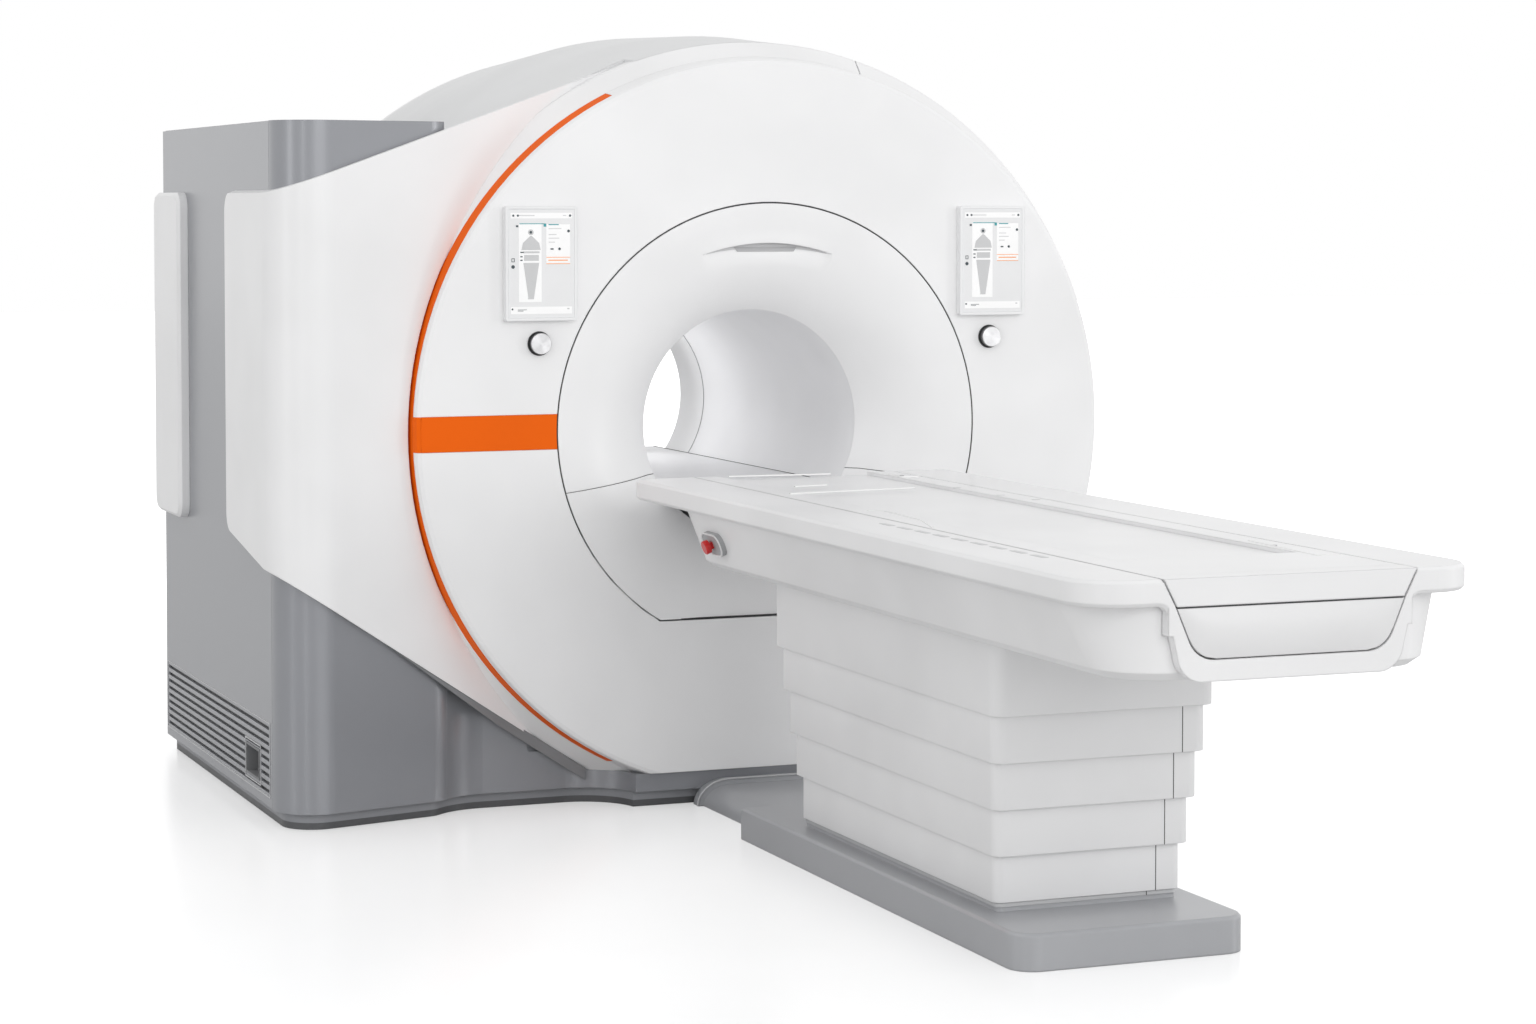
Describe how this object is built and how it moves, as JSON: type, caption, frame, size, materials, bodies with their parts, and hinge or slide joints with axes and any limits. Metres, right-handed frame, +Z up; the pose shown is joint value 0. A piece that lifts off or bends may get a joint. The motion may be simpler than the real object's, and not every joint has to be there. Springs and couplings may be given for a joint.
{
  "type": "mri scanner",
  "caption": "Whole-body MRI scanner with a round bore, a telescoping patient table with a sliding tabletop, and a services cabinet at its left side.",
  "frame": {"origin": "on the floor under the middle of the bore", "axes": "+X to the right seen from the table, +Y into the bore from the table, +Z up"},
  "size_m": [2.3789, 4.243, 2.032],
  "materials": {
    "cover_white": "satin moulded cover",
    "funnel_white": "satin moulded cover",
    "roof_grey": "fine matt",
    "body_grey": "satin paint",
    "plinth_dark": "matt",
    "accent_orange": "satin",
    "bore_white": "satin",
    "display_frame": "fine matt",
    "display_glass": "clear cover glass",
    "knob_metal": "turned",
    "table_white": "satin",
    "sleeve_white": "satin paint",
    "base_grey": "satin paint",
    "stop_red": "satin",
    "stop_bezel": "fine matt",
    "vessel_steel": "brushed",
    "coil_resin": "cast resin",
    "lift_steel": "brushed",
    "motor_metal": "painted",
    "belt_rubber": "matt",
    "recess_grey": "matt"
  },
  "bodies": {
    "base": {"front_cover": "cover_white", "accent_strip": "accent_orange", "label_band": "accent_orange", "funnel_upper": "funnel_white", "funnel_lower": "funnel_white", "hood_light": "funnel_white", "bore_liner": "bore_white", "bore_bridge": "bore_white", "side_cover_left": "cover_white", "side_cover_right": "cover_white", "roof_cover": "roof_grey", "side_shell_left": "cover_white", "side_shell_right": "cover_white", "rear_cover": "cover_white", "rear_funnel": "funnel_white", "lower_body": "body_grey", "plinth": "plinth_dark", "cabinet_housing": "body_grey", "cabinet_side_panel": "body_grey", "service_recess": "recess_grey", "cabinet_side_cover": "cover_white", "equipment_rack": "motor_metal", "cryostat_vessel": "vessel_steel", "cold_head": "vessel_steel", "gradient_coil": "coil_resin", "body_coil": "coil_resin", "display_housing_left": "display_frame", "display_housing_right": "display_frame", "display_glass_left": "display_glass", "display_glass_right": "display_glass", "floor_duct": "base_grey", "base_plate": "base_grey", "sleeve_5": "sleeve_white", "lift_stage_1": "lift_steel", "lift_motor": "motor_metal"},
    "lift_low": {"sleeve_4": "sleeve_white", "lift_stage_2": "lift_steel"},
    "lift_middle": {"sleeve_3": "sleeve_white", "lift_stage_3": "lift_steel"},
    "lift_high": {"sleeve_2": "sleeve_white", "lift_stage_4": "lift_steel"},
    "table": {"sleeve_1": "sleeve_white", "lift_stage_5": "lift_steel", "table_frame": "table_white", "table_hull": "table_white", "end_cover": "table_white", "drive_belt": "belt_rubber", "drive_motor": "motor_metal", "estop_bezel_left": "stop_bezel", "estop_bezel_right": "stop_bezel"},
    "board": {"tabletop": "table_white", "tabletop_carriage": "lift_steel", "board_end_cap": "table_white"},
    "knob_l": {"knob_left": "knob_metal"},
    "knob_r": {"knob_right": "knob_metal"},
    "stop_l": {"estop_button_left": "stop_red"},
    "stop_r": {"estop_button_right": "stop_red"},
    "far_pulley": {"drive_pulley": "lift_steel"},
    "near_pulley": {"idler_pulley": "lift_steel"}
  },
  "joints": [
    {"name": "table_lift", "type": "slide", "parent": "base", "child": "table", "axis": [0, 0, 1], "range_m": [-0.38, 0]},
    {"name": "sleeve_2_slide", "type": "slide", "parent": "base", "child": "lift_high", "axis": [0, 0, 1], "range_m": [-0.285, 0]},
    {"name": "sleeve_3_slide", "type": "slide", "parent": "base", "child": "lift_middle", "axis": [0, 0, 1], "range_m": [-0.19, 0]},
    {"name": "sleeve_4_slide", "type": "slide", "parent": "base", "child": "lift_low", "axis": [0, 0, 1], "range_m": [-0.095, 0]},
    {"name": "tabletop_slide", "type": "slide", "parent": "table", "child": "board", "axis": [0, 1, 0], "range_m": [0, 1.85]},
    {"name": "drive_pulley_turn", "type": "hinge", "parent": "table", "child": "far_pulley", "pos_m": [0, -1.067, 0.793], "axis": [1, 0, 0], "range_deg": [-6760, 0]},
    {"name": "idler_pulley_turn", "type": "hinge", "parent": "table", "child": "near_pulley", "pos_m": [0, -3.348, 0.793], "axis": [1, 0, 0], "range_deg": [-6760, 0]},
    {"name": "knob_left_turn", "type": "hinge", "parent": "base", "child": "knob_l", "pos_m": [-0.62982, -0.8, 1.20503], "axis": [0, -1, 0], "continuous": true},
    {"name": "knob_right_turn", "type": "hinge", "parent": "base", "child": "knob_r", "pos_m": [0.62982, -0.8, 1.20503], "axis": [0, -1, 0], "continuous": true},
    {"name": "estop_left_press", "type": "slide", "parent": "table", "child": "stop_l", "axis": [0.9342, 0, 0.3567], "range_m": [0, 0.005], "stiffness_N_per_m": 1500, "springref_m": -0.002},
    {"name": "estop_right_press", "type": "slide", "parent": "table", "child": "stop_r", "axis": [-0.9342, 0, 0.3567], "range_m": [0, 0.005], "stiffness_N_per_m": 1500, "springref_m": -0.002}
  ],
  "couplings": [
    {"joint": "sleeve_2_slide", "follows": "table_lift", "ratio": 0.75},
    {"joint": "sleeve_3_slide", "follows": "table_lift", "ratio": 0.5},
    {"joint": "sleeve_4_slide", "follows": "table_lift", "ratio": 0.25},
    {"joint": "drive_pulley_turn", "follows": "tabletop_slide", "rad_per_m": -63.694},
    {"joint": "idler_pulley_turn", "follows": "tabletop_slide", "rad_per_m": -63.694}
  ]
}
